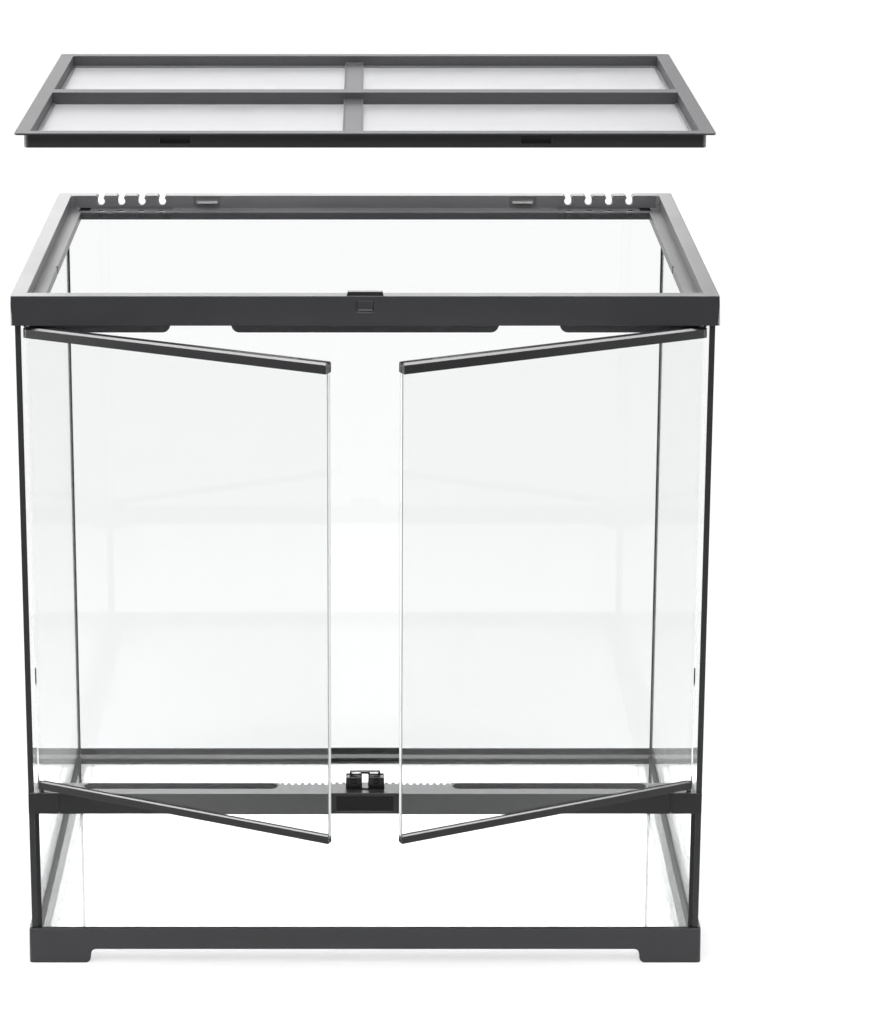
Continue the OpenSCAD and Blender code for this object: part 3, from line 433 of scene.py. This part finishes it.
# %% Make the metals
def drawn_metal(name, hex_code, roughness, line_spacing):
    material, tree = new_material(name)
    place = add(tree, "ShaderNodeTexCoord").outputs["Object"]
    along = add(tree, "ShaderNodeMapping", Vector=place)
    along.inputs["Scale"].default_value = (1, 1, 0.02)
    lines = add(tree, "ShaderNodeTexNoise", Vector=along.outputs[0], Scale=1 / line_spacing,
                Detail=2.0)
    bump = add(tree, "ShaderNodeBump", Height=lines.outputs["Fac"], Distance=0.01 * MM,
               Strength=0.5)
    metal = add(tree, "ShaderNodeBsdfPrincipled", Base_Color=colour(hex_code), Roughness=roughness,
                Metallic=1.0, Normal=bump.outputs[0])
    finish_material(tree, metal)
    return material


pin_steel = drawn_metal("drawn_steel", "#C4C5C7", 0.22, 0.2 * MM)
screen_wire = drawn_metal("bright_screen_wire", "#E2E2E4", 0.35, 0.3 * MM)
vent_wire = drawn_metal("blackened_vent_wire", "#121213", 0.6, 0.3 * MM)

# %% [markdown]
# ## The latch's two finishes
# The latch is one moulding with two skins: its button has the same spark-eroded grain as the
# frame around it, and its hook is polished to slide, so it looks blacker. The hook is all that
# stands over the rim, so its height alone tells the two apart.

# %% Make the latch's finish
latch_low, latch_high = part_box("lid_latch")
hook = (Vector((latch_low.x - MM, latch_low.y - MM, frame_high.z + MM)),
        Vector((latch_high.x + MM, latch_high.y + MM, latch_high.z + MM)))
latch_acetal = moulded_abs("black_acetal_latch", "#2E2E31", 0.34, 0.02 * MM,
                           painted_light_and_polish=(*hook, "#0C0C0D"), zone_roughness=0.28)

# %% [markdown]
# ## Give every solid its finish
# A solid arrives with a plain material from its record. Here each one gets the finish of what
# it is made of, by the record's own slots, so a new node can't be forgotten.

# %% Assign the finishes
FINISH = {
    "frame_plastic": frame_abs,
    "lid_plastic": lid_abs,
    "retainer_plastic": retainer_abs,
    "gloss_black_plastic": acetal,
    "edge_trim": trim_abs,
    "tank_glass": tank_glass,
    "door_glass": door_glass,
    "black_silicone": silicone,
    "pivot_steel": pin_steel,
    "screen_wire": screen_wire,
    "vent_mesh": vent_wire,
}
slot_of = {part["node"]: part["material_slot"] for part in frame["record"]["subparts"]}
for node, solid in frame["nodes"].items():
    finish = FINISH[slot_of[node]]
    if finish is frame_abs and "door" in node:
        finish = profile_abs
    if finish is frame_abs and ("rail" in node or "hinge_block" in node):
        finish = rail_abs
    if node == "lid_latch":
        finish = latch_acetal
    if node == "base_frame":
        finish = base_abs
    solid.data.materials.clear()
    solid.data.materials.append(finish)
    if finish in (tank_glass, door_glass):
        solid.visible_shadow = False
print("finishes on", len(frame["nodes"]), "solids")

# %% [markdown]
# ## Wire screens
# A screen is two layers of straight wires that cross. Woven cloth would need a bend at every
# crossing, hundreds of thousands of them, and at arm's length the eye sees only the even grey that
# the crossing wires make. So each wire is one straight four-sided bar, laid at its real spacing,
# and the whole screen stays light.


# %% Turn a bmesh into a piece
def piece_of(bm, name, material):
    bmesh.ops.recalc_face_normals(bm, faces=bm.faces)
    mesh = bpy.data.meshes.new(name)
    bm.to_mesh(mesh)
    bm.free()
    mesh.materials.append(material)
    piece = bpy.data.objects.new(name, mesh)
    bpy.context.scene.collection.objects.link(piece)
    return piece


# %% Lay the wires of a screen
def wire_bar(bm, start, end, thickness):
    along = (end - start).normalized()
    side = along.cross(Vector((0, 0, 1))) * thickness / 2
    up = Vector((0, 0, thickness / 2))
    ring = [side + up, up - side, -side - up, side - up]
    first = [bm.verts.new(start + r) for r in ring]
    last = [bm.verts.new(end + r) for r in ring]
    for i in range(4):
        j = (i + 1) % 4
        bm.faces.new((first[i], first[j], last[j], last[i]))
    bm.faces.new(first[::-1])
    bm.faces.new(last)


LAYERS_APART = 0.9


def wire_screen(name, node, pitch, thickness, material):
    low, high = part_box(node)
    middle = (low.z + high.z) / 2
    bm = bmesh.new()
    for axis in (0, 1):
        across = 1 - axis
        count = int((high[across] - low[across]) / pitch)
        margin = (high[across] - low[across] - (count - 1) * pitch) / 2
        level = middle + (0.5 - axis) * thickness * LAYERS_APART
        for i in range(count):
            start, end = Vector(low), Vector(high)
            start[across] = end[across] = low[across] + margin + i * pitch
            start.z = end.z = level
            wire_bar(bm, start, end, thickness)
    screen = piece_of(bm, name, material)
    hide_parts(node)
    print(name, len(screen.data.polygons), "faces")
    return screen


LID_PITCH, LID_WIRE = 1.6 * MM, 0.22 * MM
VENT_PITCH, VENT_WIRE = 1.2 * MM, 0.3 * MM
lid_wires = wire_screen("lid_wire_screen", "lid_screen", LID_PITCH, LID_WIRE, screen_wire)
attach(lid_wires, "lid")
for side in ("left", "right"):
    vent_wires = wire_screen(side + "_vent_wires", side + "_vent_mesh", VENT_PITCH,
                             VENT_WIRE, vent_wire)
    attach(vent_wires, "tank")

# %% [markdown]
# ## Ground edges of the doors
# A door's free edge is handled every day, so the glass is ground there: the narrow face is frosted
# and pale, and each of its two corners is ground off. The corners are the same ground glass as the
# face, painted grey as painted shade, which draws them as fine grey lines. The pane itself keeps
# its sharp solid, and the ground skin is laid around its edge as a thin channel. The edge is found
# from the pane's own corners, so it follows the door wherever the door stands.


# %% Make the ground glass
def ground_glass(name, hex_code):
    material, tree = new_material(name)
    place = add(tree, "ShaderNodeTexCoord").outputs["Object"]
    grit = add(tree, "ShaderNodeTexNoise", Vector=place, Scale=1 / (0.3 * MM), Detail=1.0)
    bump = add(tree, "ShaderNodeBump", Height=grit.outputs["Fac"], Distance=0.02 * MM,
               Strength=0.6)
    shader = add(tree, "ShaderNodeBsdfPrincipled", Base_Color=colour(hex_code), Roughness=0.55,
                 Normal=bump.outputs[0])
    shader.inputs["IOR"].default_value = GLASS_IOR
    finish_material(tree, shader)
    return material


ground_face = ground_glass("ground_glass_face", "#F7F9F8")
# The corners are the same ground glass, painted grey as painted shade.
ground_corner_painted_shade = ground_glass("ground_glass_corner_painted_shade", "#9FA3A2")


# %% Find a door's free edge and lay pieces along it
def door_axes(side):
    """The middle of the glass's free edge, its hinge edge, and the directions along and out."""
    glass = frame["nodes"][side + "_door_glass"].data.vertices
    corners = {(round(v.co.x, 5), round(v.co.y, 5)) for v in glass}
    corners = sorted((Vector((*c, 0)) for c in corners), key=lambda c: c.y)
    free = (corners[0] + corners[1]) / 2
    hinge = (corners[2] + corners[3]) / 2
    along = (free - hinge).normalized()
    out = Vector((along.y, -along.x, 0))
    return free, hinge, along, out if out.y < 0 else -out


def prism(bm, start, end, out, profile):
    """A bar from start to end whose section is a list of (outward, up) points."""
    up = Vector((0, 0, 1))
    rings = [[bm.verts.new(p + out * a + up * b) for a, b in profile] for p in (start, end)]
    for i in range(len(profile)):
        j = (i + 1) % len(profile)
        bm.faces.new((rings[0][i], rings[0][j], rings[1][j], rings[1][i]))
    bm.faces.new(rings[0][::-1])
    bm.faces.new(rings[1])


def rectangle(low, high):
    return [(low[0], low[1]), (high[0], low[1]), (high[0], high[1]), (low[0], high[1])]


HALF_GLASS = 2.0 * MM
LIP = 1.1 * MM
CLEAR = 0.1 * MM
TOUCH = 0.02 * MM
GROUND_HALF = 1.6 * MM
GROUND_PROUD = 0.35 * MM
CORNER_WIDTH, CORNER_THICK = 0.4 * MM, 0.12 * MM
for side in ("left", "right"):
    free, hinge, along, out = door_axes(side)
    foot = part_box(side + "_door_bottom_channel")[1].z
    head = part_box(side + "_door_top_profile")[0].z - CLEAR
    bm = bmesh.new()
    prism(bm, free + along * TOUCH, free + along * GROUND_PROUD, out,
          rectangle((-GROUND_HALF, foot + CLEAR), (GROUND_HALF, head)))
    face = piece_of(bm, side + "_door_ground_face", ground_face)
    bm = bmesh.new()
    for sign in (-1, 1):
        prism(bm, free - along * CORNER_WIDTH, free + along * GROUND_PROUD, out * sign,
              rectangle((HALF_GLASS + TOUCH, foot + LIP + CLEAR),
                        (HALF_GLASS + CORNER_THICK, head)))
    corners = piece_of(bm, side + "_door_ground_corners", ground_corner_painted_shade)
    for skin in (face, corners):
        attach(skin, side + "_door")
    print(side, "door:", round((free - hinge).length / MM, 1), "mm of glass,",
          round((head - foot) / MM, 1), "mm high in the clear")

# %% [markdown]
# ## Glazing lips of the doors
# The channel under each door grips the glass with two thin lips, which slope away from it so that
# water runs off. The slope is what draws the bright line along the foot of the door. Each lip is
# a three-cornered bar on top of the channel's wall, a hair clear of the glass.

# %% Add the glazing lips
LIP_WIDTH, LIP_GAP = 1.05 * MM, 0.12 * MM
FROM_HINGE, FROM_FREE_EDGE = 4 * MM, 0.5 * MM
for side in ("left", "right"):
    free, hinge, along, out = door_axes(side)
    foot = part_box(side + "_door_bottom_channel")[1].z
    bm = bmesh.new()
    for sign in (-1, 1):
        inner = HALF_GLASS + LIP_GAP
        prism(bm, hinge + along * FROM_HINGE, free - along * FROM_FREE_EDGE, out * sign,
              [(inner, foot), (inner + LIP_WIDTH, foot), (inner, foot + LIP)])
    lips = piece_of(bm, side + "_door_glazing_lips", lip_abs)
    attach(lips, side + "_door")
    print(side, "lips", round(LIP / MM, 1), "mm high")

# %% [markdown]
# ## The rail's panel
# The sunk panel in the middle of the rail is bare, and has a coarser skin than the face around it:
# the mould was left with a leathery spark-eroded texture there. The coarse pimples are real
# relief on a thin plate that fills the floor of the panel.

# %% Add the textured panel
rail_low, rail_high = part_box("middle_rail")
PANEL_HALF, PANEL_MARGIN = 25.3 * MM, 2.6 * MM
PANEL_DEPTH, PIMPLE = 0.36 * MM, 0.22 * MM
STEP = 0.6 * MM
columns = int(2 * PANEL_HALF / STEP)
rows = int((rail_high.z - rail_low.z - 2 * PANEL_MARGIN) / STEP)
floor_y = rail_low.y + PANEL_DEPTH
pimples = random.Random(5)
bm = bmesh.new()
grid = []
for j in range(rows + 1):
    grid.append([])
    for i in range(columns + 1):
        inner = 0 < i < columns and 0 < j < rows
        height = pimples.random() ** 2 * PIMPLE if inner else 0
        grid[j].append(bm.verts.new((-PANEL_HALF + i * STEP, floor_y - height,
                                     rail_low.z + PANEL_MARGIN + j * STEP)))
for j in range(rows):
    for i in range(columns):
        bm.faces.new((grid[j][i], grid[j][i + 1], grid[j + 1][i + 1], grid[j + 1][i]))
panel = piece_of(bm, "rail_textured_panel", panel_abs)
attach(panel, "tank")
print("panel", columns, "x", rows, "pimples")

# %% [markdown]
# ## The matt face of the floor pane
# Seen through the floor pane, whatever the tank stands on looks pale, as through a frosted
# window, but the shelf under the pane's border shows clearly. So the pane's underside is etched
# inside the shelf, and clear over it. The etched skin is a thin plate against the underside.

# %% Etch the floor pane
SHELF = 17 * MM
SKIN = 0.12 * MM
pane_low, pane_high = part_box("floor_pane")
left, right, front = pane_low.x + SHELF, pane_high.x - SHELF, pane_low.y + SHELF
deep = pane_high.y - pane_low.y - 2 * SHELF
bm = bmesh.new()
prism(bm, Vector((left, front, 0)), Vector((right, front, 0)), Vector((0, 1, 0)),
      rectangle((0, pane_low.z - SKIN), (deep, pane_low.z - TOUCH)))
etched = piece_of(bm, "floor_pane_etched_face", matt_glass)
etched.visible_shadow = False
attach(etched, "tank")
print("etched", round((right - left) / MM), "x", round(deep / MM), "mm")

# %% [markdown]
# ## The rail's tongues
# Each end of the rail plugs into its hinge block with a tongue, which is what shows as a dark
# line in the narrow gap between the two. It is a plain bar, duller than the rail, set back from
# its face, and it reaches half a millimetre into both neighbours.

# %% Close the gaps with tongues
TONGUE_BACK, TONGUE_IN, TONGUE_DEEP = 2.0 * MM, 0.5 * MM, 9 * MM
TONGUE_FOOT, TONGUE_HEAD = 0.6 * MM, 1.5 * MM
for side, sign in (("left", -1), ("right", 1)):
    block_low, block_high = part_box(side + "_hinge_block")
    block_face = block_low.x if sign > 0 else block_high.x
    rail_end = rail_high.x if sign > 0 else rail_low.x
    tongue_y = rail_low.y + TONGUE_BACK
    bm = bmesh.new()
    prism(bm, Vector((rail_end - sign * TONGUE_IN, tongue_y, 0)),
          Vector((block_face + sign * TONGUE_IN, tongue_y, 0)), Vector((0, 1, 0)),
          rectangle((0, rail_low.z + TONGUE_FOOT), (TONGUE_DEEP, rail_high.z - TONGUE_HEAD)))
    tongue = piece_of(bm, side + "_rail_tongue", trim_abs)
    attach(tongue, "tank")
    print(side, "gap", round(abs(block_face - rail_end) / MM, 2), "mm")

# %% [markdown]
# ## Ribs under the cable inlets
# Under each row of inlets the lip of the rear ledge is ribbed, so that cable ties and fingers
# hold there. Each rib is a small upright bar with sloping ends, on the face of the lip.

# %% Add the ribs
RIB_PITCH, RIB_WIDTH, RIB_PROUD = 2.7 * MM, 1.3 * MM, 0.7 * MM
RIB_FROM, RIB_TO = 188 * MM, 269 * MM
RIB_HIGH, RIB_FOOT_SLOPE, RIB_HEAD_SLOPE = 6.2 * MM, 0.8 * MM, 0.6 * MM
LIP_FROM_REAR, LIP_FROM_TOP = 33 * MM, 12.8 * MM
lip_y = frame_high.y - LIP_FROM_REAR
rib_top = frame_high.z - LIP_FROM_TOP
for side, sign in (("left", -1), ("right", 1)):
    bm = bmesh.new()
    for i in range(int((RIB_TO - RIB_FROM) / RIB_PITCH)):
        x = sign * (RIB_FROM + i * RIB_PITCH)
        foot = rib_top - RIB_HIGH
        section = [(0, foot), (RIB_PROUD, foot + RIB_FOOT_SLOPE),
                   (RIB_PROUD, rib_top - RIB_HEAD_SLOPE), (0, rib_top)]
        prism(bm, Vector((x, lip_y, 0)), Vector((x + RIB_WIDTH, lip_y, 0)), Vector((0, -1, 0)),
              section)
    ribs = piece_of(bm, side + "_inlet_ribs", frame_abs)
    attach(ribs, "tank")
print("ribs", round(RIB_PITCH / MM, 1), "mm apart")

# %% [markdown]
# ## Set the view transform
# The last step shows the colours through the plain view transform.

# %% Set the view transform
bpy.context.scene.view_settings.view_transform = "Standard"
